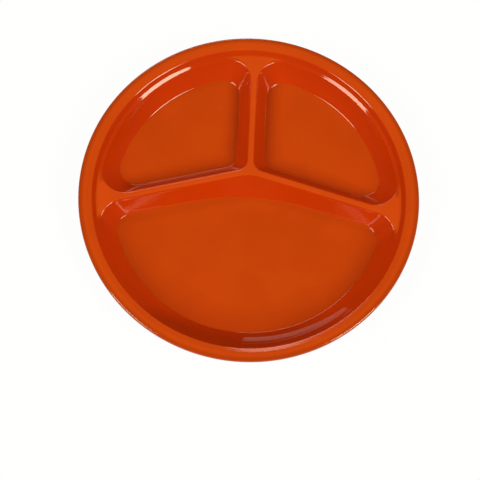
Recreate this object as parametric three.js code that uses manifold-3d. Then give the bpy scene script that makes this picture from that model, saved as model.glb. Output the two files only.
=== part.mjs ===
// Three-compartment portion plate: one moulded shell with a crowned rim, a slope inside it,
// three sunk compartments and a Y-shaped hollow divider between them.
// Millimetres and degrees, +Z up, +Y towards the two small compartments.
// The origin is the middle of the plane that the foot rings stand on.
import * as THREE from "three";
import { mergeVertices } from "three/addons/utils/BufferGeometryUtils.js";
import Module from "manifold-3d";

// Overall
const PLATE_DIAMETER = 260;
const WALL = 2.5; // moulded thickness, square to the surface

// Heights, stacked up from the table
const FOOT_HEIGHT = 2;
const DIVIDER_HEIGHT = 13.6; // compartment floor to divider crest
const RIM_RISE = 4.9; // divider crest to rim top

// Rim: it rises outward to a crown, falls a little to its lip, and has a slope inside it
const RIM_WIDTH = 10.4; // outer edge to the top of the slope
const RIM_LEAN = 18; // fall of the rim towards the slope
const RIM_CROWN = 4.2; // outer edge to the rim's highest line
const RIM_CROWN_ROUND = 9;
const RIM_SHED = 9; // fall of the rim towards its outer edge
const RIM_SLOPE = 51.5;
const RIM_ROLL = 2;
const LIP_HEIGHT = 3.8; // rim top to the tip of the turned-down lip
const LIP_ROUND = 1.6;
const LIP_TIP_ROUND = 0.6;
const LIP_UNDER_ROUND = 0.6;

// Ledge from the foot of the rim's slope down to the edge of a compartment's outer wall
const LEDGE = 2.3;
const LEDGE_TILT = 28; // round a small compartment; the large one's carries on down the rim's slope
const LEDGE_MARGIN = 0.2; // level strip left between the ledge and the foot of the slope

// Dividers
const CREST_FLAT = 2.3;
const CREST_ROUND = 2.2;
const DIVIDER_SLOPE = 60;
const JUNCTION_SETBACK = 21.4; // meeting point of the dividers, behind the plate's middle
const DIVIDER_FALL = 15; // side dividers lean this far towards the front

// Compartments' floors and outer walls
const WALL_RUN = 11; // edge of a compartment to the foot of its outer wall, in plan
const FLOOR_FILLET = 2;
const EDGE_ROUND = 1.4;

// Radii of the compartments' corners in plan, at the edge and at the floor
const RIM_CORNER_AT_EDGE = 17;
const RIM_CORNER_AT_FLOOR = 14;
const SMALL_APEX_AT_EDGE = 9;
const SMALL_APEX_AT_FLOOR = 11;
const LARGE_APEX_AT_EDGE = 30;
const LARGE_APEX_AT_FLOOR = 200; // its floor bows away from the side dividers

// Foot ring under each compartment, set in from the foot of its outer wall
const FOOT_INSET = 2.5;
const FOOT_WIDTH = 3;
const FOOT_DRAFT = 0.5; // each side of the ring leans in by this much over its height

// Fineness of the facets
const PLATE_SEGMENTS = 72;
const ARC_STEP = 7.5; // a compartment's outer wall, degrees in each facet
const CORNER_SEGMENTS = 6;
const SIDE_SEGMENTS = 10; // along a divider
const SIDE_CROWDING = 2; // power by which these crowd towards the junction
const ROUND_SEGMENTS = 3; // each round or fillet in section
const WELD = 1e-4; // points nearer than this are one

// Finish
const PLASTIC = { color: 0xc4430c, roughness: 0.2, metalness: 0 };

const radians = THREE.MathUtils.degToRad;
const direction = (angle) => new THREE.Vector2(Math.cos(angle), Math.sin(angle));
const wasm = await Module();
wasm.setup();

// Levels and widths that follow from the sizes above
const plateRadius = PLATE_DIAMETER / 2;
const floorZ = FOOT_HEIGHT + WALL;
const crestZ = floorZ + DIVIDER_HEIGHT;
const rimZ = crestZ + RIM_RISE;
const rimSlope = radians(RIM_SLOPE);
const rimLean = radians(RIM_LEAN);
const rimShed = radians(RIM_SHED);
const dividerSlope = radians(DIVIDER_SLOPE);
const dividerRun = DIVIDER_HEIGHT / Math.tan(dividerSlope);
const crestTangent = CREST_ROUND * Math.tan(dividerSlope / 2);
const halfDivider = CREST_FLAT / 2 + crestTangent;

// Sharp corners of the rim's top, as radius and height. The round at the crown touches the leans on
// both sides of it, and just reaches the rim's height.
const crownSpread = RIM_CROWN_ROUND / Math.cos((rimLean + rimShed) / 2);
const rimCrown = new THREE.Vector2(
  plateRadius - RIM_CROWN + crownSpread * Math.sin((rimShed - rimLean) / 2),
  rimZ - RIM_CROWN_ROUND + crownSpread * Math.cos((rimShed - rimLean) / 2),
);
const rimInner = plateRadius - RIM_WIDTH;
const rimInnerZ = rimCrown.y - (rimCrown.x - rimInner) * Math.tan(rimLean);
const rimEdgeZ = rimCrown.y - (plateRadius - rimCrown.x) * Math.tan(rimShed);
const slopeFoot = rimInner - (rimInnerZ - crestZ) / Math.tan(rimSlope);
const edgeRadius = slopeFoot - LEDGE;
const floorRadius = edgeRadius - WALL_RUN;

// Points along a path of straight runs, each corner rounded by its own radius.
function roundedPath(corners) {
  return corners.flatMap(({ at, radius = 0 }, i) => {
    if (!radius) return [at];
    const before = corners[i - 1].at.clone().sub(at).normalize();
    const after = corners[i + 1].at.clone().sub(at).normalize();
    const turn = Math.PI - Math.acos(THREE.MathUtils.clamp(before.dot(after), -1, 1));
    const middle = before.clone().add(after).normalize();
    const centre = at.clone().addScaledVector(middle, radius / Math.cos(turn / 2));
    const start = at.clone().addScaledVector(before, radius * Math.tan(turn / 2)).sub(centre);
    const sweep = turn * Math.sign(after.cross(before));
    return Array.from({ length: ROUND_SEGMENTS + 1 }, (_, k) =>
      start.clone().rotateAround(new THREE.Vector2(), (sweep * k) / ROUND_SEGMENTS).add(centre),
    );
  });
}

const corner = (x, y, radius) => ({ at: new THREE.Vector2(x, y), radius });

// A closed body from its vertices and triangles.
function solid(positions, triangles) {
  return new wasm.Manifold(
    new wasm.Mesh({
      numProp: 3,
      vertProperties: new Float32Array(positions),
      triVerts: new Uint32Array(triangles),
    }),
  );
}

// The rim, its lip and slope, and a flat disc at the height of the crests, turned about the axis.
function dishSolid() {
  const footUnder = WALL * Math.tan(rimSlope / 2);
  const rollTilt = (rimSlope + rimLean) / 2;
  const rollUnder = WALL / Math.cos((rimSlope - rimLean) / 2);
  const lipInner = plateRadius - WALL;
  const lipZ = rimZ - LIP_HEIGHT;
  const profile = roundedPath([
    corner(0, crestZ - WALL),
    corner(slopeFoot + footUnder, crestZ - WALL),
    corner(rimInner + rollUnder * Math.sin(rollTilt), rimInnerZ - rollUnder * Math.cos(rollTilt)),
    corner(lipInner, rimCrown.y - WALL, LIP_UNDER_ROUND),
    corner(lipInner, lipZ, LIP_TIP_ROUND),
    corner(plateRadius, lipZ, LIP_TIP_ROUND),
    corner(plateRadius, rimEdgeZ, LIP_ROUND),
    corner(rimCrown.x, rimCrown.y, RIM_CROWN_ROUND),
    corner(rimInner, rimInnerZ, RIM_ROLL),
    corner(slopeFoot, crestZ),
    corner(0, crestZ),
  ]);
  const turned = new THREE.LatheGeometry(profile, PLATE_SEGMENTS).rotateX(Math.PI / 2);
  turned.deleteAttribute("normal");
  turned.deleteAttribute("uv");
  const merged = mergeVertices(turned, WELD);
  const triangles = [];
  for (let i = 0; i < merged.index.count; i += 3) {
    const [a, b, c] = merged.index.array.slice(i, i + 3);
    if (a !== b && b !== c && c !== a) triangles.push(a, b, c);
  }
  return solid(merged.attributes.position.array, triangles);
}

// The compartments: each lies between two dividers, given by their directions from the junction. Its
// outer wall has a tilted ledge above it.
const junction = new THREE.Vector2(0, JUNCTION_SETBACK);
const backDivider = Math.PI / 2;
const rightDivider = -radians(DIVIDER_FALL);
const leftDivider = Math.PI + radians(DIVIDER_FALL);
const small = { atEdge: SMALL_APEX_AT_EDGE, atFloor: SMALL_APEX_AT_FLOOR, ledgeTilt: radians(LEDGE_TILT) };
const large = { atEdge: LARGE_APEX_AT_EDGE, atFloor: LARGE_APEX_AT_FLOOR, ledgeTilt: rimSlope };
const compartments = [
  { from: rightDivider, to: backDivider, ...small },
  { from: backDivider, to: leftDivider, ...small },
  { from: leftDivider, to: rightDivider + 2 * Math.PI, ...large },
];
const wallSegments = ({ from, to }) => Math.round((to - from) / radians(ARC_STEP));

// Points along one side of an outline, from the middle of its apex towards its end at a rim corner. The
// side follows a divider, u from the sharp apex, and bows away from it within reach of the apex's round.
function side({ from, to }, divider, gap, apexRadius, end) {
  const half = (to - from) / 2;
  const middle = direction((from + to) / 2);
  const along = direction(divider);
  const away = middle.clone().addScaledVector(along, -Math.cos(half)).normalize();
  const sharp = junction.clone().addScaledVector(middle, gap / Math.sin(half));
  const reach = apexRadius / Math.tan(half);
  const nearest = reach - apexRadius * Math.cos(half);
  const farthest = end.clone().sub(sharp).dot(along);
  return Array.from({ length: SIDE_SEGMENTS }, (_, k) => {
    const u = THREE.MathUtils.lerp(nearest, farthest, (k / SIDE_SEGMENTS) ** SIDE_CROWDING);
    const bow = apexRadius - Math.sqrt(apexRadius ** 2 - Math.max(0, reach - u) ** 2);
    return sharp.clone().addScaledVector(along, u).addScaledVector(away, bow);
  });
}

// A compartment's outline in plan, anticlockwise: a corner, the outer wall, a corner and two sides that
// meet at the apex. The sides lie gap from the centre-lines of the dividers, and the outer wall reach
// from the plate's middle.
function outline({ from, to }, gap, reach, apexRadius, radius) {
  const sides = [
    { along: direction(from), inward: direction(from + Math.PI / 2) },
    { along: direction(to), inward: direction(to - Math.PI / 2) },
  ];
  const [first, last] = sides.map(({ along, inward }) => {
    const base = junction.clone().addScaledVector(inward, gap + radius);
    const ahead = base.dot(along);
    const travel = Math.sqrt(ahead ** 2 - base.lengthSq() + (reach - radius) ** 2) - ahead;
    return base.addScaledVector(along, travel);
  });
  const wallFrom = nearAngle(first.angle(), from);
  const wallTo = nearAngle(last.angle(), to);
  const cornerFrom = arc(first, radius, from - Math.PI / 2, wallFrom, CORNER_SEGMENTS);
  const cornerTo = arc(last, radius, wallTo, to + Math.PI / 2, CORNER_SEGMENTS);
  return [
    ...cornerFrom,
    ...arc(new THREE.Vector2(), reach, wallFrom, wallTo, wallSegments({ from, to })).slice(1, -1),
    ...cornerTo,
    ...side({ from, to }, to, gap, apexRadius, cornerTo.at(-1)).toReversed(),
    ...side({ from, to }, from, gap, apexRadius, cornerFrom[0]).slice(1),
  ];
}

// The same direction as angle, within half a turn of another angle.
function nearAngle(angle, other) {
  return angle + 2 * Math.PI * Math.round((other - angle) / (2 * Math.PI));
}

function arc(centre, radius, start, end, segments) {
  return Array.from({ length: segments + 1 }, (_, k) =>
    direction(start + ((end - start) * k) / segments)
      .multiplyScalar(radius)
      .add(centre),
  );
}

// For each point of an outline: 0 along the dividers, 1 along the outer wall, even between them.
function outerness(compartment) {
  const ramp = Array.from({ length: CORNER_SEGMENTS + 1 }, (_, k) => k / CORNER_SEGMENTS);
  const wall = Array(wallSegments(compartment) - 1).fill(1);
  return [...ramp, ...wall, ...ramp.toReversed(), ...Array(2 * SIDE_SEGMENTS - 1).fill(0)];
}

// A solid skinned over columns of points that stand side by side round a closed outline, each running
// from the top down, with flat ends.
function loft(columns) {
  const height = columns[0].length;
  const count = columns.length;
  const middle = (row) =>
    columns.reduce((sum, column) => sum.add(column[row]), new THREE.Vector3()).divideScalar(count);
  const points = [...columns.flat(), middle(0), middle(height - 1)];
  const top = points.length - 2;
  const bottom = points.length - 1;
  const triangles = [];
  for (let i = 0; i < count; i++) {
    const here = i * height;
    const next = ((i + 1) % count) * height;
    triangles.push(top, here, next, bottom, next + height - 1, here + height - 1);
    for (let row = 0; row < height - 1; row++) {
      const [a, b, c, d] = [here + row, next + row, next + row + 1, here + row + 1];
      triangles.push(a, d, c, a, c, b);
    }
  }
  return solid(points.flatMap((p) => p.toArray()), triangles);
}

// Distances from the points of an edge to those of a foot, each square to the edge there.
function runs(edge, foot) {
  return edge.map((at, i) => {
    const before = edge.at(i - 1);
    const after = edge[(i + 1) % edge.length];
    const along = at.clone().sub(before).normalize().add(after.clone().sub(at).normalize()).normalize();
    return along.cross(foot[i].clone().sub(at));
  });
}

// A column of a wall: a path of (distance from the edge, height), drawn out to pass over a point of the
// foot at a given run.
function column(edge, foot, run, path) {
  return path.map(({ x, y }) => {
    const { x: across, y: along } = edge.clone().lerp(foot, x / run);
    return new THREE.Vector3(across, along, y);
  });
}

// The space inside a compartment: ledge, rounded edge, sloped wall, floor fillet and flat floor. It
// carries straight on up from the ledge, inside the foot of the rim's slope.
function hollow(compartment) {
  const { ledgeTilt, atEdge, atFloor } = compartment;
  const gapAtFoot = halfDivider + dividerRun;
  const edge = outline(compartment, halfDivider, edgeRadius, atEdge, RIM_CORNER_AT_EDGE);
  const foot = outline(compartment, gapAtFoot, floorRadius, atFloor, RIM_CORNER_AT_FLOOR);
  const outer = outerness(compartment);
  const columns = runs(edge, foot).map((run, i) => {
    const share = THREE.MathUtils.smoothstep(outer[i], 0.5, 1);
    const ledge = THREE.MathUtils.lerp(crestTangent, LEDGE - LEDGE_MARGIN, share);
    const drop = LEDGE * Math.tan(ledgeTilt * share);
    const round = THREE.MathUtils.lerp(CREST_ROUND, EDGE_ROUND, Math.min(1, 2 * outer[i]));
    const path = roundedPath([
      corner(-ledge, rimZ),
      corner(-ledge, crestZ),
      corner(0, crestZ - drop, round),
      corner(run, floorZ, FLOOR_FILLET),
      corner(2 * run, floorZ),
    ]);
    return column(edge[i], foot[i], run, path.slice(0, -1));
  });
  return loft(columns);
}

// The outside of a compartment, one wall thickness out from its hollow, down to its foot ring. Its
// walls start within the thickness of the dish's disc.
function cup(compartment) {
  const { ledgeTilt, atEdge, atFloor } = compartment;
  const underZ = floorZ - WALL;
  const startZ = crestZ - WALL / 2;
  const wallHeight = DIVIDER_HEIGHT - LEDGE * Math.tan(ledgeTilt);
  const wallTilt = Math.atan2(wallHeight, edgeRadius - floorRadius);
  const sideOut = WALL * Math.tan(dividerSlope / 2);
  const wallOut = WALL * Math.tan(wallTilt / 2);
  const gapAtFoot = halfDivider + dividerRun - sideOut;
  const reachAtFoot = floorRadius + wallOut;
  const climb = startZ - underZ;
  const gap = gapAtFoot - climb / Math.tan(dividerSlope);
  const reach = reachAtFoot + climb / Math.tan(wallTilt);
  const cornerAtFoot = RIM_CORNER_AT_FLOOR + wallOut;
  const edge = outline(compartment, gap, reach, atEdge + sideOut, RIM_CORNER_AT_EDGE + wallOut);
  const foot = outline(compartment, gapAtFoot, reachAtFoot, atFloor + sideOut, cornerAtFoot);
  const columns = runs(edge, foot).map((run, i) => {
    const bottomRound = FLOOR_FILLET + WALL;
    const footOuter = run + bottomRound * Math.tan(Math.atan2(climb, run) / 2) + FOOT_INSET;
    const footInner = footOuter + FOOT_WIDTH;
    const path = roundedPath([
      corner(0, startZ),
      corner(run, underZ, bottomRound),
      corner(footOuter, underZ),
      corner(footOuter + FOOT_DRAFT, 0),
      corner(footInner - FOOT_DRAFT, 0),
      corner(footInner, underZ),
    ]);
    return column(edge[i], foot[i], run, path);
  });
  return loft(columns);
}

// The plate: the dish with the three cups joined to it and their hollows cut out.
function plateGeometry() {
  const joined = compartments.reduce((body, c) => body.add(cup(c)), dishSolid());
  const cut = compartments.reduce((body, c) => body.subtract(hollow(c)), joined);
  const { vertProperties, triVerts } = cut.getMesh();
  return new THREE.BufferGeometry()
    .setAttribute("position", new THREE.BufferAttribute(vertProperties, 3))
    .setIndex(new THREE.BufferAttribute(triVerts, 1));
}

const plate = new THREE.Mesh(plateGeometry(), new THREE.MeshStandardMaterial(PLASTIC));
plate.name = "plate";

const portionPlate = new THREE.Group();
portionPlate.add(plate);
export default portionPlate;
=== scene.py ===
"""Portion plate: the fine surface, the plastic and the stage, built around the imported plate."""
import math
from collections import namedtuple

import bmesh
import bpy
import numpy as np
from bpy.props import FloatProperty, FloatVectorProperty, PointerProperty
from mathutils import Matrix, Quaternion, Vector


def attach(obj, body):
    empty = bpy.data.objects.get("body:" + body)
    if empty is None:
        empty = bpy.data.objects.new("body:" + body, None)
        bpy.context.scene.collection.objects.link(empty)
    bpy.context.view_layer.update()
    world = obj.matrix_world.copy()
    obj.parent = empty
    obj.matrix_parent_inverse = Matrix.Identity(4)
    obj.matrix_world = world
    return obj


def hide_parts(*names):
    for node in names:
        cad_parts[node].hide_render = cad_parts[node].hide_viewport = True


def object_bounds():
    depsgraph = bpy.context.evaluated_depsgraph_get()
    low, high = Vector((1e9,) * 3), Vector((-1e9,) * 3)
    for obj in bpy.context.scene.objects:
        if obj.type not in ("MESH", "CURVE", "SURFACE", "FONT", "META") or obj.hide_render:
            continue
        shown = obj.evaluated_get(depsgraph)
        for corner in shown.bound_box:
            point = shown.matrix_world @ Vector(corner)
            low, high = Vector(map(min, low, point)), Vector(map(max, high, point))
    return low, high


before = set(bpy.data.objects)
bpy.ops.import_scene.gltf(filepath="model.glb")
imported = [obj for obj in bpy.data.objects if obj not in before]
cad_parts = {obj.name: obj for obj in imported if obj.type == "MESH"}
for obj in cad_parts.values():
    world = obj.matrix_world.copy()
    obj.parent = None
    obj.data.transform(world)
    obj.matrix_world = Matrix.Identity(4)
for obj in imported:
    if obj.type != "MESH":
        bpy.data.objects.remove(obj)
CAD_LOW, CAD_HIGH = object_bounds()

bl_info = {
    "name": "Portion Plate",
    "version": (1, 0, 0),
    "blender": (4, 5, 0),
    "location": "3D View > Sidebar > Portion Plate",
    "description": "Builds a moulded plate with three compartments, and a stage to show it on",
    "category": "Add Mesh",
}

NODE = "plate"
BODY = "root"

# Fineness of the plate's mesh, in segments unless a unit is given
SIDE_STEPS = 30
CORNER_STEPS = 10
WALL_STEP = math.radians(2.2)
FILLET_STEP = math.radians(6)
CREST_RINGS = 2
ROUND_STEPS = 10
WALL_ROWS = 8
SUPPORT = 0.0003  # distance from the end of a fillet to the ring that keeps the flat beside it flat
WELD = 1e-6  # points closer than this are one point

# Rings of a floor, as shares of the way from its edge to its middle
FLOOR_SHARES = np.array([0.07, 0.15, 0.24, 0.34, 0.46, 0.65, 1])

# Columns along a divider: they crowd towards the junction, and a rim corner begins at this share of them
SIDE_CROWDING = 1.5
SIDE_SHARES = np.linspace(0, 1, SIDE_STEPS + 1) ** SIDE_CROWDING
CORNER_SHARE = 0.82

# Shares of the way round a rim corner, from its divider: where a ledge starts to fall and has its full
# tilt, and where the crest's round has become the outer wall's
LEDGE_RAMP = 1 / 2, 5 / 6
CREST_END = 1 / 2

# Where the tints of the plastic begin and end: painted shade, painted highlight and scuffs
WALL_STEEPNESS = 0.06, 0.12  # 1 - |z of the normal|
FRONT_REACHES = 0.084, 0.104  # in front of the plate's middle
CREST_DEPTHS = 0.0003, 0.0008  # below the crests
LIP_WIDTHS = 0.0014, 0.005  # from the outer edge
SCUFF_HEIGHTS = 0.00005, 0.0004  # above the table

# Patterns in the plastic: the scale and detail of a noise, and the part of its range that is used
Pattern = namedtuple("Pattern", "scale detail low high")
MOTTLE = Pattern(28, 3, 0.35, 0.7)
SMEARS = Pattern(17, 5, 0.45, 0.8)
GRIT = Pattern(900, 2, 0.4, 0.6)

# Ripples in the plastic: the scale and detail of two noises, and the share of the second one
LONG_WAVES = 60, 1
SHORT_WAVES = 420, 2
SHORT_WAVE_SHARE = 0.08

WHITE = 1, 1, 1, 1


def length(name, description, default):
    return FloatProperty(name=name, description=description, default=default, min=0, precision=5,
                         unit="LENGTH", subtype="DISTANCE")


def angle(name, description, degrees):
    return FloatProperty(name=name, description=description, default=math.radians(degrees),
                         unit="ROTATION", subtype="ANGLE")


def share(name, description, default):
    return FloatProperty(name=name, description=description, default=default, min=0, max=1,
                         subtype="FACTOR")


def amount(name, description, default):
    return FloatProperty(name=name, description=description, default=default, min=0)


def power(name, description, watts):
    return FloatProperty(name=name, description=description, default=watts, min=0, unit="POWER")


def widths(name, description, default):
    return FloatVectorProperty(name=name, description=description, default=default, size=len(default),
                               min=0, unit="LENGTH")


def colour(name, description, default):
    return FloatVectorProperty(name=name, description=description, default=default, size=3,
                               min=0, max=1, subtype="COLOR")


class PlateSizes(bpy.types.PropertyGroup):
    """Sizes of the plate, as moulded."""

    diameter: length("Diameter", "Across the rim", CAD_HIGH.x - CAD_LOW.x)
    height: length("Height", "Table to rim top", CAD_HIGH.z - CAD_LOW.z)
    wall: length("Wall", "Moulded thickness, square to the surface", 0.0025)
    foot_height: length("Foot height", "Table to the underside of a floor", 0.002)
    rim_rise: length("Rim rise", "Divider crest to rim top", 0.0049)
    rim_width: length("Rim width", "Outer edge to the top of the slope inside the rim, in plan", 0.0104)
    rim_lean: angle("Rim lean", "Fall of the rim towards its slope, from the horizontal", 18)
    rim_crown: length("Rim crown", "Outer edge to the highest line of the rim, in plan", 0.0042)
    rim_crown_round: length("Rim crown radius", "Round along the highest line of the rim", 0.009)
    rim_shed: angle("Rim shed", "Fall of the rim towards its outer edge, from the horizontal", 9)
    lip_height: length("Lip height", "Rim top to the tip of the turned-down lip", 0.0038)
    lip_round: length("Lip radius", "Outer round of the lip", 0.0016)
    lip_tip_round: length("Lip tip radius", "Rounds of the lip's lower edge", 0.0006)
    lip_under_round: length("Lip under radius", "Round inside the lip", 0.0006)
    rim_slope: angle("Rim slope", "Slope inside the rim, from the horizontal", 51.5)
    rim_roll: length("Rim roll", "Round from the rim into its slope", 0.002)
    ledge: length("Ledge", "Foot of the rim's slope to the edges of the compartments, in plan", 0.0023)
    ledge_tilt: angle("Ledge tilt", "Fall of the ledge round a small compartment, from the horizontal", 28)
    ledge_fillet: length("Ledge fillet", "Fillet at the foot of the rim's slope", 0.0014)
    under_fillet: length("Under fillet", "Round under the foot of the rim's slope", 0.0014)
    crest_flat: length("Crest flat", "Flat width along the top of a divider", 0.0023)
    crest_round: length("Crest round", "Rounds along the top of a divider", 0.0022)
    junction_setback: length("Junction setback", "Meeting point of the dividers, behind the middle", 0.0214)
    divider_fall: angle("Divider fall", "Lean of the side dividers towards the front", 15)
    divider_slope: angle("Divider slope", "Sides of the dividers, from the horizontal", 60)
    edge_round: length("Edge round", "Round at the top of a small compartment's outer wall", 0.0014)
    wall_run: length("Wall run", "Edge of a compartment to the foot of its outer wall, in plan", 0.011)
    wall_sag: length("Wall sag", "Hollow along the middle of a compartment's outer wall", 0.0004)
    floor_fillet: length("Floor fillet", "Fillet at the foot of a compartment's wall", 0.002)
    rim_corner_at_edge: length("Rim corner at edge", "Plan radius next to the rim, at the top", 0.017)
    rim_corner_at_floor: length("Rim corner at floor", "Plan radius next to the rim, at the floor", 0.014)
    small_apex_at_edge: length("Small apex at edge", "Plan radius at the junction, at the top", 0.009)
    small_apex_at_floor: length("Small apex at floor", "Plan radius at the junction, at the floor", 0.011)
    large_apex_at_edge: length("Large apex at edge", "Plan radius at the junction, at the top", 0.030)
    large_apex_at_floor: length("Large apex at floor", "Plan radius at the junction, at the floor", 0.2)
    foot_inset: length("Foot inset", "Bottom round to the foot ring", 0.0025)
    foot_width: length("Foot width", "Foot ring, at its root", 0.003)
    foot_draft: length("Foot draft", "Lean of each side of the foot ring over its height", 0.0005)
    foot_round: length("Foot radius", "Rounds along the foot ring", 0.0003)
    groove_fillet: length("Groove fillet", "Round where an outer wall meets the plate's underside", 0.0004)


class PlasticFinish(bpy.types.PropertyGroup):
    """Colour and gloss of the moulded plastic, with light and shade painted into the colour."""

    orange: colour("Orange", "Colour of the plastic", (0.515, 0.056, 0.0026))
    # Painted shade: the floors are coloured deeper along the nearer walls, as if shadowed by them
    border_shade_orange: colour("Border orange", "Deeper colour of the floors along the nearer walls",
                          (0.43, 0.042, 0.0023))
    shade_at_rim: length("Border at rim", "Width of the deeper colour along the outer wall", 0.027)
    shade_at_divider: length("Border at divider", "Width of the deeper colour along a divider", 0.015)
    # Painted light and shade: steep walls are coloured redder and darker, standing in for the light bounced
    # off the orange floors
    wall_shade_orange: colour("Wall orange", "Redder colour of the steep walls", (0.535, 0.037, 0.001))
    # Painted shade: the wall at the front of the plate is coloured deeper still
    front_wall_shade_orange: colour("Front orange", "Deeper colour of the wall at the front", (0.4, 0.027, 0.0008))
    # Painted highlight: the dividers' crests are coloured brighter
    crest_highlight_orange: colour("Crest orange", "Brighter colour of the dividers' crests", (0.61, 0.067, 0.005))
    # Painted light: the rim, open to the lamps, is coloured brighter than the floors
    rim_light_orange: colour("Rim orange", "Colour of the rim", (0.57, 0.063, 0.004))
    # Painted shade: the lip's outer round, turned away from the lamps, is coloured darker
    lip_shade_orange: colour("Lip orange", "Darker colour of the rim's outer edge", (0.42, 0.046, 0.002))
    mottle: colour("Mottle", "Tint of the pigment's mottle", (0.95, 0.93, 0.9))
    scuffed: colour("Scuffed", "Colour where the foot rings have rubbed on tables", (0.62, 0.12, 0.05))
    roughness: share("Roughness", "Gloss of the clean surface", 0.05)
    smear: share("Smear", "Roughness added where hands and cloths have dulled the gloss", 0.04)
    scuff_roughness: share("Scuff roughness", "Roughness added on the foot rings", 0.35)
    ior: amount("Refractive index", "Strength of the plastic's reflection", 1.48)
    ripple: length("Ripple", "Height of the faint waves left by moulding", 0.00001)


class StageSettings(bpy.types.PropertyGroup):
    """Camera, lamps and floor."""

    camera_azimuth: angle("Camera azimuth", "Turn of the camera round the plate, from the front", -1.464)
    camera_elevation: angle("Camera elevation", "Height of the camera above the horizon", 72.72)
    camera_roll: angle("Camera roll", "Turn of the camera about its own axis", 4.242)
    camera_distance: length("Camera distance", "Camera to the point it looks at", 1.3)
    camera_aim: FloatVectorProperty(name="Camera aim", description="Point that the camera looks at",
                                    default=(-0.005256, -0.036377, 0.023), size=3, precision=5,
                                    unit="LENGTH", subtype="XYZ")
    camera_lens: FloatProperty(name="Camera lens", description="Focal length on the sensor below",
                               default=129.14, min=1, unit="CAMERA")
    camera_sensor: FloatProperty(name="Camera sensor", description="Width of the sensor",
                                 default=36, min=1, unit="CAMERA")
    key_azimuth: angle("Key azimuth", "Turn of each side lamp from the front", 57)
    key_elevation: angle("Key elevation", "Height of the side lamps above the horizon", 43)
    key_distance: length("Key distance", "Side lamps to the plate", 3)
    key_width: length("Key width", "Width of the side lamps", 0.95)
    key_height: length("Key height", "Height of the side lamps", 1.5)
    key_left: power("Left key", "Power of the left lamp", 50)
    key_right: power("Right key", "Power of the right lamp", 62)
    core_width: length("Core width", "Width of the bright core of a side lamp", 0.35)
    core_height: length("Core height", "Height of the bright core of a side lamp", 0.45)
    core_left: power("Left core", "Power of the left lamp's core", 10)
    core_right: power("Right core", "Power of the right lamp's core", 8)
    key_colour: colour("Key colour", "Warm white of the side lamps", (1, 0.95, 0.68))
    strip_azimuth: angle("Strip azimuth", "Turn of the back strips from the front", 194)
    strip_distance: length("Strip distance", "Back strips to the plate", 2)
    strip_colour: colour("Strip colour", "Warm white of the back strips", (1, 0.83, 0.7))
    low_elevation: angle("Low strip elevation", "Height of the lower strip above the horizon", 14.5)
    low_height: length("Low strip height", "Height of the lower strip", 0.37)
    low_widths: widths("Low strip widths", "Widths laid over each other, lower strip", (1.0, 0.6, 0.3))
    low_power: power("Low strip", "Power of a metre of the lower strip", 2.8)
    high_elevation: angle("High strip elevation", "Height of the upper strip above the horizon", 40)
    high_height: length("High strip height", "Height of the upper strip", 0.28)
    high_widths: widths("High strip widths", "Widths laid over each other, upper strip", (0.95, 0.5, 0.2))
    high_power: power("High strip", "Power of a metre of the upper strip", 4.7)
    room: colour("Room", "Dim light from the room around the plate", (0.03, 0.03, 0.03))
    floor: colour("Floor", "Colour of the floor", (0.9, 0.9, 0.9))
    floor_lift: share("Floor lift", "How far the seen floor is brought up to white", 0.96)
    floor_size: length("Floor size", "Width of the floor", 16)


# One compartment: it lies between two dividers, given by their directions from the junction. Its apex is
# rounded by one radius at the edge and another at the floor. Between the rim's slope and its edge there
# is a ledge of some tilt, which is the slope's own round the large compartment.
Compartment = namedtuple("Compartment", "start end apex_at_edge apex_at_floor ledge_tilt")


def direction(turn):
    """Unit vectors in plan: (cos turn, sin turn)."""
    return np.stack([np.cos(turn), np.sin(turn)], axis=-1)


def near(turn, other):
    """The same direction as turn, within half a turn of other."""
    return turn + 2 * np.pi * np.round((other - turn) / (2 * np.pi))


def arc(centre, radius, start, end, steps):
    """Points at centre + radius * (cos, sin) of an angle that goes evenly from start to end."""
    return centre + radius * direction(np.linspace(start, end, steps + 1))


def smooth(values, low, high):
    """0 below low, 1 above high, and 3 s^2 - 2 s^3 between them, s from 0 to 1."""
    s = np.clip((values - low) / (high - low), 0, 1)
    return s * s * (3 - 2 * s)


def profile(*corners):
    """A path through corners given as (across, height, radius), each rounded by a tangent arc.

    An arc of radius r at a corner that turns by t starts r * tan(t / 2) before the corner and ends
    as far after it. Straight runs get a point close to each end, which keeps them flat when shaded.
    """
    at = np.array([c[:2] for c in corners], float)
    pieces = [at[:1]]
    for before, here, after, (_, _, radius) in zip(at[:-2], at[1:-1], at[2:], corners[1:-1]):
        back = (before - here) / np.linalg.norm(before - here)
        ahead = (after - here) / np.linalg.norm(after - here)
        turn = np.pi - np.arccos(np.clip(back @ ahead, -1, 1))
        middle = (back + ahead) / np.linalg.norm(back + ahead)
        centre = here + middle * radius / np.cos(turn / 2)
        spoke = here + back * radius * np.tan(turn / 2) - centre
        side = np.sign(ahead[0] * back[1] - ahead[1] * back[0])
        steps = np.linspace(0, turn * side, max(2, math.ceil(turn / FILLET_STEP)) + 1)[:, None]
        pieces.append(centre + np.cos(steps) * spoke + np.sin(steps) * spoke[::-1] * (-1, 1))
    pieces.append(at[-1:])
    path = pieces[0]
    for piece in pieces[1:]:
        gap = piece[0] - path[-1]
        reach = np.linalg.norm(gap)
        if reach > SUPPORT:
            step = min(SUPPORT, reach / 3)
            path = np.concatenate([path, path[-1] + gap * [[step / reach], [1 - step / reach]]])
        path = np.concatenate([path, piece])
    return path


def inward(outline):
    """Unit vectors in plan, square to a closed anticlockwise outline at each of its points."""
    ahead = np.roll(outline, -1, axis=0) - outline
    ahead /= np.linalg.norm(ahead, axis=-1, keepdims=True)
    along = ahead + np.roll(ahead, 1, axis=0)
    along /= np.linalg.norm(along, axis=-1, keepdims=True)
    return along[:, ::-1] * (-1, 1)


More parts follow.
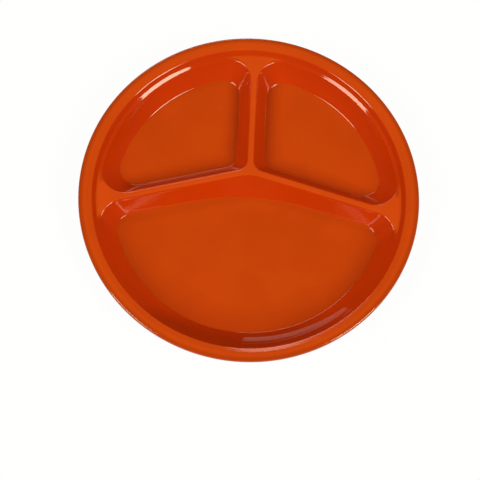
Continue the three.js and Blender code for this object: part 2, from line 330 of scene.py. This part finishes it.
def wall_rows(edge, foot, edge_z, foot_z, start, edge_round, foot_round, sag, beyond):
    """Rows of points down a wall whose sharp edge and foot are two outlines, column for column.

    In each column the wall leans from its edge to its foot. A round of tilts from start to the wall's
    own tilt t makes the edge: across = r * (sin tilt - sin start), down = r * (cos start - cos tilt),
    with r negative where the edge is hollow.
    A fillet from t to level makes the foot, and a path of (distance past the fillet, height) follows.
    Between the round and the fillet the wall sags by 4 sag s (1 - s), s from 0 to 1, square to it.
    Distances across are square to the edge, so a column that runs askew is drawn out by as much.
    """
    run = ((foot - edge) * inward(edge)).sum(axis=-1)
    tilt = np.arctan2(edge_z - foot_z, run)
    bend = tilt - start
    edge_round = np.copysign(edge_round, bend)
    edge_reach = edge_round * np.tan(bend / 2)
    foot_reach = foot_round * np.tan(tilt / 2)
    share = np.linspace(0, 1, ROUND_STEPS + 1)[:, None]
    turn = start + bend * share
    edge_x = edge_round * (np.sin(turn) - np.sin(start)) - edge_reach * np.cos(start)
    edge_h = edge_z + edge_reach * np.sin(start) - edge_round * (np.cos(start) - np.cos(turn))
    turn = tilt * (1 - share)
    foot_x = run + foot_reach - foot_round * np.sin(turn)
    foot_h = foot_z + foot_round * (1 - np.cos(turn))
    share = np.linspace(0, 1, WALL_ROWS + 1)[1:-1, None]
    depth = 4 * sag * share * (1 - share)
    wall_x = edge_x[-1] + (foot_x[0] - edge_x[-1]) * share - depth * np.sin(tilt)
    wall_h = edge_h[-1] + (foot_h[0] - edge_h[-1]) * share - depth * np.cos(tilt)
    past_x = run + foot_reach + beyond[:, :1]
    past_h = beyond[:, 1:] + np.zeros_like(run)
    x = np.concatenate([edge_x, wall_x, foot_x, past_x])
    h = np.concatenate([edge_h, wall_h, foot_h, past_h])
    return np.concatenate([edge + (foot - edge) * (x / run)[..., None], h[..., None]], axis=-1)


def cell_rows(boundary, wall):
    """Rows of one compartment's side of the shell: a boundary, the wall and its last row drawn in to a
    middle point."""
    share = np.linspace(0, 1, CREST_RINGS, endpoint=False)[:, None, None]
    crest = boundary + (wall[0] - boundary) * share
    floor = wall[-1] + (wall[-1].mean(0) - wall[-1]) * FLOOR_SHARES[:, None, None]
    return np.concatenate([crest, wall, floor])


class PlateForm:
    """The plate's surfaces as grids of points, worked out from the sizes.

    In plan each compartment is a closed outline of arcs and straight sides, one at its edge and one at
    its floor, with a wall between them. Outside the edge a flat cell reaches to the centre-lines of the
    dividers and to a circle, and from that circle a turned profile makes the rim.
    """

    def __init__(self, sizes):
        self.sizes = s = sizes
        self.floor_z = s.foot_height + s.wall
        self.crest_z = s.height - s.rim_rise
        self.radius = s.diameter / 2
        self.rim_corners = self.rim_top()
        rim_inner, rim_inner_z = self.rim_corners[0]
        self.slope_foot = rim_inner - (rim_inner_z - self.crest_z) / math.tan(s.rim_slope)
        self.edge_radius = self.slope_foot - s.ledge
        self.floor_radius = self.edge_radius - s.wall_run
        self.half_divider = s.crest_flat / 2 + s.crest_round * math.tan(s.divider_slope / 2)
        self.divider_run = (self.crest_z - self.floor_z) / math.tan(s.divider_slope)
        self.junction = np.array([0, s.junction_setback])
        right, back = -s.divider_fall, math.pi / 2
        left = math.pi + s.divider_fall
        small = (s.small_apex_at_edge, s.small_apex_at_floor, s.ledge_tilt)
        large = (s.large_apex_at_edge, s.large_apex_at_floor, s.rim_slope)
        self.small = [Compartment(right, back, *small), Compartment(back, left, *small)]
        self.compartments = [*self.small, Compartment(left, right + 2 * math.pi, *large)]

    def rim_top(self):
        """Sharp corners of the rim's top as (radius, height): over its slope, at its crown and at its outer
        edge. The crown's round touches the leans on both sides, and just reaches the plate's height."""
        s = self.sizes
        spread = s.rim_crown_round / math.cos((s.rim_lean + s.rim_shed) / 2)
        outward = (s.rim_shed - s.rim_lean) / 2
        x = self.radius - s.rim_crown + spread * math.sin(outward)
        z = s.height - s.rim_crown_round + spread * math.cos(outward)
        inner = self.radius - s.rim_width
        return np.array([
            (inner, z - (x - inner) * math.tan(s.rim_lean)),
            (x, z),
            (self.radius, z - (self.radius - x) * math.tan(s.rim_shed)),
        ])

    def below(self, first, second):
        """Step from a corner of the upper surface, between two tilts, to the corner one wall under it:
        w / cos(half their difference) along the middle of their normals."""
        middle = (first + second) / 2
        spread = self.sizes.wall / np.cos((first - second) / 2)
        return spread * np.sin(middle), -spread * np.cos(middle)

    def wall_steps(self, compartment):
        return round((compartment.end - compartment.start) / WALL_STEP)

    def corner_centre(self, side, inward, gap, reach, radius):
        """Centre of the arc that touches a divider's side and the round outer wall: it lies gap + radius
        from the centre-line, and reach - radius from the plate's middle."""
        base = self.junction + (gap + radius) * direction(inward)
        ahead = base @ direction(side)
        travel = math.sqrt(ahead**2 - base @ base + (reach - radius) ** 2) - ahead
        return base + travel * direction(side)

    def side(self, compartment, divider, gap, apex_radius, end):
        """One side of an outline, from the middle of its apex to its end at a rim corner. It runs along a
        divider, u from the sharp apex. Within the reach t of the apex's round r, it bows away from the
        divider by r - sqrt(r^2 - (t - u)^2)."""
        half = (compartment.end - compartment.start) / 2
        middle = direction((compartment.start + compartment.end) / 2)
        along = direction(divider)
        away = (middle - along * math.cos(half)) / math.sin(half)
        sharp = self.junction + middle * gap / math.sin(half)
        reach = apex_radius / math.tan(half)
        nearest = reach - apex_radius * math.cos(half)
        u = nearest + ((end - sharp) @ along - nearest) * SIDE_SHARES[:, None]
        bow = apex_radius - np.sqrt(apex_radius**2 - np.clip(reach - u, 0, None) ** 2)
        return sharp + u * along + bow * away

    def outline(self, compartment, gap, reach, apex_radius, radius):
        """A closed outline in plan, anticlockwise from the apex: a side, a corner, the outer wall, a
        corner and a side. The sides lie gap from the centre-lines of the dividers, and the outer wall
        reach from the plate's middle."""
        start, end = compartment.start, compartment.end
        first = self.corner_centre(start, start + np.pi / 2, gap, reach, radius)
        last = self.corner_centre(end, end - np.pi / 2, gap, reach, radius)
        wall_start = near(math.atan2(first[1], first[0]), start)
        wall_end = near(math.atan2(last[1], last[0]), end)
        corner_from = arc(first, radius, start - np.pi / 2, wall_start, 2 * CORNER_STEPS)
        outer = arc(np.zeros(2), reach, wall_start, wall_end, self.wall_steps(compartment))
        corner_to = arc(last, radius, wall_end, end + np.pi / 2, 2 * CORNER_STEPS)
        side_from = self.side(compartment, start, gap, apex_radius, corner_from[0])
        side_to = self.side(compartment, end, gap, apex_radius, corner_to[-1])[::-1]
        stretches = [side_from, corner_from, outer, corner_to, side_to]
        return np.concatenate([stretch[:-1] for stretch in stretches])

    def outerness(self, compartment):
        """For each column of an outline: 0 along the dividers, 1 along the outer wall, even between."""
        side = np.zeros(SIDE_STEPS)
        ramp = np.linspace(0, 1, 2 * CORNER_STEPS + 1)
        outer = np.ones(self.wall_steps(compartment) - 1)
        return np.concatenate([side, ramp, outer, ramp[::-1], side[1:]])

    def ledge_tilts(self, compartment):
        """For each column of an outline: the tilt outside its edge, level along the dividers."""
        return compartment.ledge_tilt * smooth(self.outerness(compartment), *LEDGE_RAMP)

    def round_columns(self, compartment):
        """The columns of an outline whose cell ends on the circle, both ends counted."""
        first = SIDE_STEPS + CORNER_STEPS
        return slice(first, first + 2 * CORNER_STEPS + self.wall_steps(compartment) + 1)

    def divider_end(self, side, radius):
        """Angle, about the plate's middle, where a divider's centre-line meets a circle."""
        ahead = self.junction @ direction(side)
        travel = math.sqrt(ahead**2 - self.junction @ self.junction + radius**2) - ahead
        x, y = self.junction + travel * direction(side)
        return near(math.atan2(y, x), side)

    def circle(self, compartment, radius):
        """Angles on a circle, evenly from one divider's end to the next."""
        ends = [self.divider_end(side, radius) for side in (compartment.start, compartment.end)]
        return np.linspace(*ends, 2 * CORNER_STEPS + self.wall_steps(compartment) + 1)

    def foot_rows(self, tilts, under):
        """Rows of (radius, height) up the fillet from a ledge to the rim's slope, with a column for each
        tilt of the ledge, on the upper surface or one wall under it."""
        s = self.sizes
        across, down = self.below(tilts, s.rim_slope) if under else (0, 0)
        radius = s.under_fillet if under else s.ledge_fillet
        reach = radius * np.tan((s.rim_slope - tilts) / 2)
        turn = tilts + (s.rim_slope - tilts) * np.linspace(0, 1, ROUND_STEPS + 1)[:, None]
        x = self.slope_foot + across - reach * np.cos(tilts) + radius * (np.sin(turn) - np.sin(tilts))
        z = self.crest_z + down - reach * np.sin(tilts) + radius * (np.cos(tilts) - np.cos(turn))
        return np.stack([x, z], axis=-1)

    def ring(self, compartment, under):
        """Points where a compartment's cell meets the rim."""
        level = self.foot_rows(self.ledge_tilts(compartment)[self.round_columns(compartment)], under)[0]
        turn = self.circle(compartment, level[0, 0])
        return np.concatenate([level[:, :1] * direction(turn), level[:, 1:]], axis=-1)

    def boundary(self, compartment, under):
        """The closed edge of a compartment's cell, column for column with its outlines: out along one
        divider's centre-line, round the rim and back along the other centre-line."""
        ring = self.ring(compartment, under)
        shares = np.concatenate([
            CORNER_SHARE * SIDE_SHARES[:-1],
            np.linspace(CORNER_SHARE, 1, CORNER_STEPS, endpoint=False),
        ])[:, None]
        middle = np.array([*self.junction, ring[0, 2]])
        out = middle + shares * (ring[0] - middle)
        home = middle + shares[:0:-1] * (ring[-1] - middle)
        return np.concatenate([out, ring, home])

    def hollow(self, compartment):
        """Inside of a compartment: rounded edge, sloped wall, floor fillet and flat floor."""
        s = self.sizes
        edge = self.outline(compartment, self.half_divider, self.edge_radius, compartment.apex_at_edge,
                            s.rim_corner_at_edge)
        foot = self.outline(compartment, self.half_divider + self.divider_run, self.floor_radius,
                            compartment.apex_at_floor, s.rim_corner_at_floor)
        tilts = self.ledge_tilts(compartment)
        outer = self.outerness(compartment)
        edge_z = self.crest_z - s.ledge * np.tan(tilts)
        edge_round = s.crest_round + (s.edge_round - s.crest_round) * np.clip(outer / CREST_END, 0, 1)
        sag = s.wall_sag * outer
        wall = wall_rows(edge, foot, edge_z, self.floor_z, tilts, edge_round, s.floor_fillet, sag,
                         np.array([[SUPPORT, self.floor_z]]))
        return cell_rows(self.boundary(compartment, False), wall)

    def cup(self, compartment):
        """Outside of a compartment, one wall thickness out: outer wall, bottom round and foot ring."""
        s = self.sizes
        bottom = self.floor_z - s.wall
        tilts = self.ledge_tilts(compartment)
        drop = s.ledge * math.tan(compartment.ledge_tilt)
        wall_tilt = math.atan2(self.crest_z - drop - self.floor_z, self.edge_radius - self.floor_radius)
        at_side, _ = self.below(0, s.divider_slope)
        at_edge, _ = self.below(compartment.ledge_tilt, wall_tilt)
        at_floor, _ = self.below(0, wall_tilt)
        gap = self.half_divider - at_side
        edge = self.outline(compartment, gap, self.edge_radius + at_edge,
                            compartment.apex_at_edge + at_side, s.rim_corner_at_edge + at_edge)
        foot = self.outline(compartment, gap + self.divider_run, self.floor_radius + at_floor,
                            compartment.apex_at_floor + at_side, s.rim_corner_at_floor + at_floor)
        ring = profile(
            (0, bottom, 0),
            (s.foot_inset, bottom, s.foot_round),
            (s.foot_inset + s.foot_draft, 0, s.foot_round),
            (s.foot_inset + s.foot_width - s.foot_draft, 0, s.foot_round),
            (s.foot_inset + s.foot_width, bottom, s.foot_round),
            (s.foot_inset + 2 * s.foot_width, bottom, 0),
        )[1:]
        edge_z = self.crest_z - s.ledge * np.tan(tilts) + self.below(tilts, wall_tilt)[1]
        bottom_round = s.floor_fillet + s.wall
        wall = wall_rows(edge, foot, edge_z, bottom, tilts, s.groove_fillet, bottom_round, 0, ring)
        return cell_rows(self.boundary(compartment, True), wall)

    def shade_border(self, points, at_rim, at_divider):
        """How close points are, in plan, to the foot of a wall: 1 at the foot and 0 one width away, smooth
        between. Along the outer wall it fades by (1 - y / r) / 2 from the front of the plate to the back,
        and along the dividers it lies in the small compartments. It masks the shade painted on the floors
        beside the walls, in place of the shadow those walls cast from the front."""
        plan = points[:, :2]
        reach = np.linalg.norm(plan, axis=-1)
        front = (1 - plan[:, 1] / np.maximum(reach, WELD)) / 2
        close = front * smooth(reach, self.floor_radius - at_rim, self.floor_radius)
        foot = self.half_divider + self.divider_run
        for compartment in self.small:
            sides = direction(np.array([compartment.start + np.pi / 2, compartment.end - np.pi / 2]))
            gap = ((plan - self.junction) @ sides.T).min(axis=-1)
            close = np.maximum(close, np.where(gap > 0, 1 - smooth(gap, foot, foot + at_divider), 0))
        return close

    def rim_path(self):
        """Profile of the rim as (radius, height), from low on its slope over its top and its lip to low on
        the slope's underside."""
        s = self.sizes
        slope = np.array([math.cos(s.rim_slope), math.sin(s.rim_slope)])
        climb = max(s.ledge_fillet, s.under_fillet) * math.tan(s.rim_slope / 2) + 2 * SUPPORT
        start = np.array([self.slope_foot, self.crest_z]) + climb * slope
        end = start + self.below(s.rim_slope, s.rim_slope)
        inner, crown, edge = self.rim_corners
        under = inner + self.below(s.rim_slope, s.rim_lean)
        lip_inner = self.radius - s.wall
        lip_z = s.height - s.lip_height
        return profile(
            (*start, 0),
            (*inner, s.rim_roll),
            (*crown, s.rim_crown_round),
            (*edge, s.lip_round),
            (self.radius, lip_z, s.lip_tip_round),
            (lip_inner, lip_z, s.lip_tip_round),
            (lip_inner, crown[1] - s.wall, s.lip_under_round),
            (*under, s.rim_roll),
            (*end, 0),
        )

    def rim(self):
        """The turned part: a profile of radius and height carried round the plate's axis, with the fillet
        to each ledge before it and the one under it after it. Along the profile its columns go evenly from
        the dividers' ends on the upper surface to those under it."""
        tilts = np.concatenate([self.ledge_tilts(c)[self.round_columns(c)][:-1] for c in self.compartments])
        path = np.repeat(self.rim_path()[:, None], len(tilts), axis=1)
        share = np.pad(np.linspace(0, 1, len(path)), ROUND_STEPS + 1, mode="edge")[:, None]
        level = np.concatenate([self.foot_rows(tilts, False), path, self.foot_rows(tilts, True)[::-1]])
        ends = [level[row, 0, 0] for row in (0, -1)]
        top, base = [np.concatenate([self.circle(c, r)[:-1] for c in self.compartments]) for r in ends]
        turn = top + (base - top) * share
        return np.concatenate([level[..., :1] * direction(turn), level[..., 1:]], axis=-1)


def faces(rows, columns, offset, flipped):
    """Quads of a grid whose columns close into a ring, numbered from offset."""
    here = np.arange(rows - 1)[:, None] * columns + np.arange(columns)
    beside = np.arange(rows - 1)[:, None] * columns + (np.arange(columns) + 1) % columns
    quads = np.stack([here, beside, beside + columns, here + columns], axis=-1).reshape(-1, 4)
    return (quads[:, ::-1] if flipped else quads) + offset


def shell_mesh(name, grids):
    """One closed mesh from grids that share their edges, given with whether each is turned over."""
    points, quads, offset = [], [], 0
    for grid, flipped in grids:
        rows, columns = grid.shape[:2]
        points.append(grid.reshape(-1, 3))
        quads.append(faces(rows, columns, offset, flipped))
        offset += rows * columns
    mesh = bpy.data.meshes.new(name)
    mesh.from_pydata(np.concatenate(points).tolist(), [], np.concatenate(quads).tolist())
    joined = bmesh.new()
    joined.from_mesh(mesh)
    bmesh.ops.remove_doubles(joined, verts=joined.verts, dist=WELD)
    joined.to_mesh(mesh)
    joined.free()
    mesh.polygons.foreach_set("use_smooth", np.ones(len(mesh.polygons), bool))
    mesh.update()
    return mesh


def vectors(items, name):
    """One of the vectors of each vertex, as an array of rows."""
    values = np.empty(3 * len(items), np.float32)
    items.foreach_get(name, values)
    return values.reshape(-1, 3)


def keep(mesh, name, values):
    """Keeps a number for each vertex, for the material to read."""
    mesh.attributes.new(name, "FLOAT", "POINT").data.foreach_set("value", values.astype(np.float32))


class Wire:
    """A socket of a node tree. Operators on wires and numbers add the Math nodes that work them out."""

    def __init__(self, tree, socket=None):
        self.tree = tree
        self.socket = socket

    def node(self, kind, settings, inputs, output=0):
        """Adds a node of a kind, with its settings and the values or wires of its sockets."""
        made = self.tree.nodes.new(kind)
        for name, value in settings.items():
            setattr(made, name, value)
        for name, value in inputs.items():
            if isinstance(value, Wire):
                self.tree.links.new(value.socket, made.inputs[name])
            else:
                made.inputs[name].default_value = value
        return Wire(self.tree, made.outputs[output] if len(made.outputs) else None)

    def maths(self, operation, first, second):
        return self.node("ShaderNodeMath", {"operation": operation}, {0: first, 1: second})

    def __add__(self, other):
        return self.maths("ADD", self, other)

    def __radd__(self, other):
        return self.maths("ADD", other, self)

    def __sub__(self, other):
        return self.maths("SUBTRACT", self, other)

    def __rsub__(self, other):
        return self.maths("SUBTRACT", other, self)

    def __mul__(self, other):
        return self.maths("MULTIPLY", self, other)

    def __rmul__(self, other):
        return self.maths("MULTIPLY", other, self)

    def noise(self, scale, detail):
        """Noise from 0 to 1 at this wire's coordinates."""
        return self.node("ShaderNodeTexNoise", {}, {"Vector": self, "Scale": scale, "Detail": detail})

    def pattern(self, pattern):
        """A pattern's noise at this wire's coordinates, with the used part of its range made 0 to 1."""
        return self.noise(pattern.scale, pattern.detail).between(pattern.low, pattern.high)

    def between(self, low, high):
        """0 below low, 1 above high, and smooth between them."""
        return self.node("ShaderNodeMapRange", {"interpolation_type": "SMOOTHSTEP"},
                         {"Value": self, "From Min": low, "From Max": high})

    def blend(self, first, second):
        """The first colour where this wire is 0, and the second where it is 1."""
        return self.node("ShaderNodeMix", {"data_type": "RGBA"}, {0: self, 6: first, 7: second}, 2)


def opaque(rgb):
    return (*rgb, 1)


def empty_tree(data):
    """The node tree of a material or world, cleared."""
    data.use_nodes = True
    data.node_tree.nodes.clear()
    return Wire(data.node_tree)


def attribute(tree, name):
    """A number kept on the mesh."""
    return tree.node("ShaderNodeAttribute", {"attribute_name": name}, {}, "Fac")


def pigment_and_painted_light(tree, place, finish, form):
    """Colour of the clean plastic with light and shade painted in: painted shade along the floors'
    borders, redder painted shade on the walls and deeper again on the front one, a painted highlight on
    the crests, painted light on the rim and painted shade at the lip, with a faint mottle."""
    height = tree.node("ShaderNodeSeparateXYZ", {}, {0: place}, "Z")
    back = tree.node("ShaderNodeSeparateXYZ", {}, {0: place}, "Y")
    flat = tree.node("ShaderNodeVectorMath", {"operation": "MULTIPLY"}, {0: place, 1: (1, 1, 0)})
    out = tree.node("ShaderNodeVectorMath", {"operation": "LENGTH"}, {0: flat}, "Value")
    # Where the walls' painted shade lies, from the steepness of the surface
    wall = attribute(tree, "steep").between(*WALL_STEEPNESS)
    level = 1 - wall
    # Painted shade on the front wall, by how far in front of the middle a point lies
    front = (0 - back).between(*FRONT_REACHES)
    # Painted highlight along the crests
    crest = height.between(form.crest_z - CREST_DEPTHS[1], form.crest_z - CREST_DEPTHS[0]) * level
    # Painted light on the rim
    rim = out.between(form.edge_radius, form.slope_foot) * level
    # Painted shade at the lip
    lip = out.between(form.radius - LIP_WIDTHS[1], form.radius - LIP_WIDTHS[0])
    # Painted shade on the floors beside the walls
    floors = attribute(tree, "shade_border").blend(opaque(finish.orange), opaque(finish.border_shade_orange))
    walls = front.blend(opaque(finish.wall_shade_orange), opaque(finish.front_wall_shade_orange))
    pigment_and_shade = wall.blend(floors, walls)
    pigment_and_shade = crest.blend(pigment_and_shade, opaque(finish.crest_highlight_orange))
    pigment_and_shade = rim.blend(pigment_and_shade, opaque(finish.rim_light_orange))
    pigment_and_shade = lip.blend(pigment_and_shade, opaque(finish.lip_shade_orange))
    tint = place.pattern(MOTTLE).blend(WHITE, opaque(finish.mottle))
    return tree.node("ShaderNodeMix", {"data_type": "RGBA", "blend_type": "MULTIPLY"},
                     {0: 1.0, 6: pigment_and_shade, 7: tint}, 2)


def plastic_material(finish, form):
    """Glossy moulded plastic: its pigment with light and shade painted in, smears in the gloss, faint
    ripples and dull foot rings.
    """
    material = bpy.data.materials.new("orange_plastic")
    tree = empty_tree(material)
    place = tree.node("ShaderNodeTexCoord", {}, {}, "Object")
    height = tree.node("ShaderNodeSeparateXYZ", {}, {0: place}, "Z")
    scuff = (1 - height.between(*SCUFF_HEIGHTS)) * place.pattern(GRIT)
    base = scuff.blend(pigment_and_painted_light(tree, place, finish, form), opaque(finish.scuffed))
    roughness = finish.roughness + place.pattern(SMEARS) * finish.smear + scuff * finish.scuff_roughness
    waves = place.noise(*LONG_WAVES) + place.noise(*SHORT_WAVES) * SHORT_WAVE_SHARE
    normal = tree.node("ShaderNodeBump", {}, {"Strength": 1.0, "Distance": finish.ripple, "Height": waves})
    shader = tree.node("ShaderNodeBsdfPrincipled", {}, {
        "Base Color": base, "Roughness": roughness, "IOR": finish.ior, "Normal": normal,
    })
    tree.node("ShaderNodeOutputMaterial", {}, {"Surface": shader})
    return material


def floor_material(stage):
    """Pale floor that takes the plate's shadow, and is lifted towards white where it is seen directly,
    in reflections or through clear things."""
    material = bpy.data.materials.new("pale_floor")
    tree = empty_tree(material)
    camera = tree.node("ShaderNodeLightPath", {}, {}, "Is Camera Ray")
    glossy = tree.node("ShaderNodeLightPath", {}, {}, "Is Glossy Ray")
    through = tree.node("ShaderNodeLightPath", {}, {}, "Is Transmission Ray")
    seen = (camera + glossy + through) * stage.floor_lift
    matt = tree.node("ShaderNodeBsdfDiffuse", {}, {"Color": opaque(stage.floor)})
    white = tree.node("ShaderNodeEmission", {}, {"Color": WHITE, "Strength": 1})
    mixed = tree.node("ShaderNodeMixShader", {}, {0: seen, 1: matt, 2: white})
    tree.node("ShaderNodeOutputMaterial", {}, {"Surface": mixed})
    return material


def room_world(stage):
    """Dim room around the plate, with white behind it for the camera."""
    world = bpy.data.worlds.new("room")
    tree = empty_tree(world)
    camera = tree.node("ShaderNodeLightPath", {}, {}, "Is Camera Ray")
    seen = camera.blend(opaque(stage.room), WHITE)
    light = tree.node("ShaderNodeBackground", {}, {"Color": seen, "Strength": 1})
    tree.node("ShaderNodeOutputWorld", {}, {"Surface": light})
    bpy.context.scene.world = world


def show(name, data):
    """A new object at the origin, in the scene."""
    made = bpy.data.objects.new(name, data)
    bpy.context.scene.collection.objects.link(made)
    return made


def towards(azimuth, elevation):
    """Direction from the plate, by the turn from the front to the right and the height over the horizon."""
    return Vector((math.sin(azimuth) * math.cos(elevation), -math.cos(azimuth) * math.cos(elevation),
                   math.sin(elevation)))


def lamp(name, rgb, azimuth, elevation, distance, width, height, power):
    """A rectangular lamp that faces the middle of the plate."""
    data = bpy.data.lights.new(name, "AREA")
    data.color = rgb
    data.shape = "RECTANGLE"
    data.size = width
    data.size_y = height
    data.energy = power
    made = show(name, data)
    made.location = towards(azimuth, elevation) * distance
    made.rotation_mode = "QUATERNION"
    made.rotation_quaternion = (-made.location).to_track_quat("-Z", "Y")


class PORTION_OT_plate(bpy.types.Operator):
    """Build the plate as one moulded shell"""

    bl_idname = "portion.plate"
    bl_label = "Plate"

    def execute(self, context):
        form = PlateForm(context.scene.plate_sizes)
        hollows = [(form.hollow(c), False) for c in form.compartments]
        cups = [(form.cup(c), True) for c in form.compartments]
        finish = context.scene.plastic_finish
        mesh = shell_mesh("moulded_plate", [*hollows, (form.rim(), True), *cups])
        points = vectors(mesh.vertices, "co")
        # Steepness, which places the walls' painted shade
        keep(mesh, "steep", 1 - np.abs(vectors(mesh.vertices, "normal")[:, 2]))
        # Mask of the shade painted on the floors beside the walls
        keep(mesh, "shade_border", form.shade_border(points, finish.shade_at_rim, finish.shade_at_divider))
        mesh.materials.append(plastic_material(finish, form))
        plate = show("moulded_plate", mesh)
        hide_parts(NODE)
        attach(plate, BODY)
        return {"FINISHED"}


class PORTION_OT_stage(bpy.types.Operator):
    """Set up the floor, the lamps, the room and the camera"""

    bl_idname = "portion.stage"
    bl_label = "Stage"

    def execute(self, context):
        stage = context.scene.plate_stage
        half = stage.floor_size / 2
        mesh = bpy.data.meshes.new("floor")
        mesh.from_pydata([(-half, -half, 0), (half, -half, 0), (half, half, 0), (-half, half, 0)], [],
                         [(0, 1, 2, 3)])
        mesh.materials.append(floor_material(stage))
        show("floor", mesh)
        for name, side, watts, core_watts in (
            ("left_key", -1, stage.key_left, stage.core_left),
            ("right_key", 1, stage.key_right, stage.core_right),
        ):
            place = (side * stage.key_azimuth, stage.key_elevation, stage.key_distance)
            lamp(name, stage.key_colour, *place, stage.key_width, stage.key_height, watts)
            lamp(name + "_core", stage.key_colour, *place, stage.core_width, stage.core_height, core_watts)
        for name, elevation, across, height, watts in (
            ("low_strip", stage.low_elevation, stage.low_widths, stage.low_height, stage.low_power),
            ("high_strip", stage.high_elevation, stage.high_widths, stage.high_height, stage.high_power),
        ):
            place = (stage.strip_azimuth, elevation, stage.strip_distance)
            for width in across:
                lamp(name, stage.strip_colour, *place, width, height, watts * width)
        room_world(stage)
        self.place_camera(context.scene, stage)
        context.scene.view_settings.view_transform = "Standard"
        return {"FINISHED"}

    def place_camera(self, scene, stage):
        data = bpy.data.cameras.new("camera")
        data.sensor_width = stage.camera_sensor
        data.lens = stage.camera_lens
        camera = show("camera", data)
        back = towards(stage.camera_azimuth, stage.camera_elevation)
        camera.location = Vector(stage.camera_aim) + back * stage.camera_distance
        camera.rotation_mode = "QUATERNION"
        roll = Quaternion((0, 0, 1), stage.camera_roll)
        camera.rotation_quaternion = (-back).to_track_quat("-Z", "Y") @ roll
        scene.camera = camera


class PORTION_PT_panel(bpy.types.Panel):
    """Sizes, finish and stage of the plate"""

    bl_idname = "PORTION_PT_panel"
    bl_label = "Portion Plate"
    bl_space_type = "VIEW_3D"
    bl_region_type = "UI"
    bl_category = "Portion Plate"

    def draw(self, context):
        for group, operator in (
            ("plate_sizes", PORTION_OT_plate),
            ("plastic_finish", None),
            ("plate_stage", PORTION_OT_stage),
        ):
            box = self.layout.box()
            settings = getattr(context.scene, group)
            for name in settings.bl_rna.properties.keys():
                if name not in {"rna_type", "name"}:
                    box.prop(settings, name)
            if operator:
                box.operator(operator.bl_idname)


GROUPS = {"plate_sizes": PlateSizes, "plastic_finish": PlasticFinish, "plate_stage": StageSettings}
CLASSES = (*GROUPS.values(), PORTION_OT_plate, PORTION_OT_stage, PORTION_PT_panel)


def register():
    for made in CLASSES:
        bpy.utils.register_class(made)
    for name, group in GROUPS.items():
        setattr(bpy.types.Scene, name, PointerProperty(type=group))


def unregister():
    for name in GROUPS:
        delattr(bpy.types.Scene, name)
    for made in reversed(CLASSES):
        bpy.utils.unregister_class(made)


def main():
    register()
    bpy.ops.portion.stage()
    bpy.ops.portion.plate()


if __name__ == "__main__":
    main()
